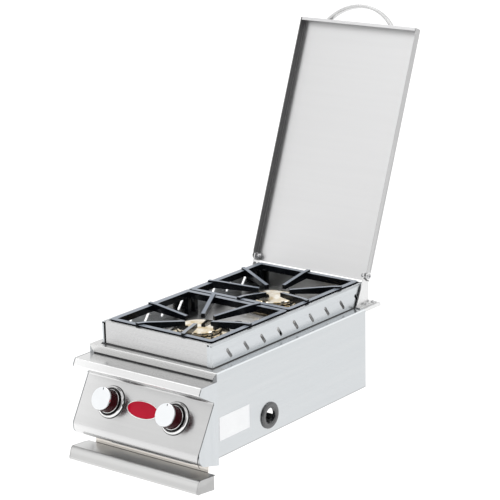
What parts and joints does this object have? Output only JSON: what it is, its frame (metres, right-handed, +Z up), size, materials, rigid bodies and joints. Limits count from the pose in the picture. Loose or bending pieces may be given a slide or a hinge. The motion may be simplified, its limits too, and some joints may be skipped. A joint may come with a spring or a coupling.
{
  "type": "double side burner",
  "caption": "Drop-in gas side burner for an outdoor kitchen: hinged lid, brass burners under cast grates, push-and-turn knobs on a sloping panel, and a pull-out drip tray.",
  "frame": {"origin": "middle of the counter cut-out in plan, at counter level", "axes": "+X to the right seen from the front, +Y to the back, +Z up"},
  "size_m": [0.3475, 0.8491, 0.8658],
  "materials": {
    "stainless_steel": "brushed",
    "polished_steel": "polished",
    "fastener_steel": "bright",
    "galvanised_steel": "matt",
    "brass": "satin",
    "cast_aluminium": "cast",
    "black_iron": "enamelled, semi-matt",
    "maroon_knob": "gloss",
    "red_enamel": "gloss",
    "black_rubber": "matt",
    "black_plastic": "matt",
    "white_plastic": "matt",
    "white_ceramic": "glazed"
  },
  "bodies": {
    "housing": {"badge_plate": "red_enamel", "badge_rim": "polished_steel", "blank_plate": "white_plastic", "bracket_screws": "fastener_steel", "burner_deck": "stainless_steel", "control_panel": "stainless_steel", "cross_member": "galvanised_steel", "electrodes": "white_ceramic", "front_bulkhead": "galvanised_steel", "front_burner_body": "cast_aluminium", "front_burner_cap": "brass", "front_burner_ring": "brass", "front_flange": "stainless_steel", "front_grate": "black_iron", "gas_inlet": "brass", "gas_line_grommet": "black_rubber", "hinge_bracket_left": "stainless_steel", "hinge_bracket_right": "stainless_steel", "igniter_leads": "black_rubber", "igniters": "black_plastic", "knob_bezel_left": "polished_steel", "knob_bezel_right": "polished_steel", "left_side_panel": "stainless_steel", "manifold_brackets": "galvanised_steel", "manifold_pipe": "galvanised_steel", "orifices": "brass", "panel_end_left": "stainless_steel", "panel_end_right": "stainless_steel", "rear_burner_body": "cast_aluminium", "rear_burner_cap": "brass", "rear_burner_ring": "brass", "rear_grate": "black_iron", "rear_panel": "stainless_steel", "rear_shelf": "stainless_steel", "right_side_panel": "stainless_steel", "surround_front": "stainless_steel", "surround_rear": "stainless_steel", "surround_side_left": "stainless_steel", "surround_side_right": "stainless_steel", "tray_runners": "galvanised_steel", "valve_left": "brass", "valve_right": "brass"},
    "lid": {"lid_pan": "stainless_steel", "lid_handle": "polished_steel", "handle_screws": "fastener_steel", "hinge_bolts": "fastener_steel", "hinge_spacers": "fastener_steel", "hinge_nuts": "fastener_steel"},
    "drip_tray": {"tray_pan": "galvanised_steel", "tray_front": "stainless_steel", "tray_pull": "stainless_steel"},
    "push_left": {"push_washer_left": "fastener_steel"},
    "knob_left": {"knob_skirt_left": "maroon_knob", "knob_face_left": "polished_steel", "valve_stem_left": "fastener_steel"},
    "push_right": {"push_washer_right": "fastener_steel"},
    "knob_right": {"knob_skirt_right": "maroon_knob", "knob_face_right": "polished_steel", "valve_stem_right": "fastener_steel"}
  },
  "joints": [
    {"name": "lid_hinge", "type": "hinge", "parent": "housing", "child": "lid", "pos_m": [0, 0.2915, 0.0663], "axis": [1, 0, 0], "range_deg": [0, 111]},
    {"name": "tray_slide", "type": "slide", "parent": "housing", "child": "drip_tray", "axis": [0, -1, 0], "range_m": [0, 0.26]},
    {"name": "knob_push_left", "type": "slide", "parent": "housing", "child": "push_left", "axis": [0, 0.8721, -0.4894], "range_m": [0, 0.004], "stiffness_N_per_m": 1500, "springref_m": -0.002},
    {"name": "knob_turn_left", "type": "hinge", "parent": "push_left", "child": "knob_left", "pos_m": [-0.0855, -0.29392, -0.10194], "axis": [0, -0.8721, 0.4894], "range_deg": [0, 225]},
    {"name": "knob_push_right", "type": "slide", "parent": "housing", "child": "push_right", "axis": [0, 0.8721, -0.4894], "range_m": [0, 0.004], "stiffness_N_per_m": 1500, "springref_m": -0.002},
    {"name": "knob_turn_right", "type": "hinge", "parent": "push_right", "child": "knob_right", "pos_m": [0.0855, -0.29392, -0.10194], "axis": [0, -0.8721, 0.4894], "range_deg": [0, 225]}
  ]
}
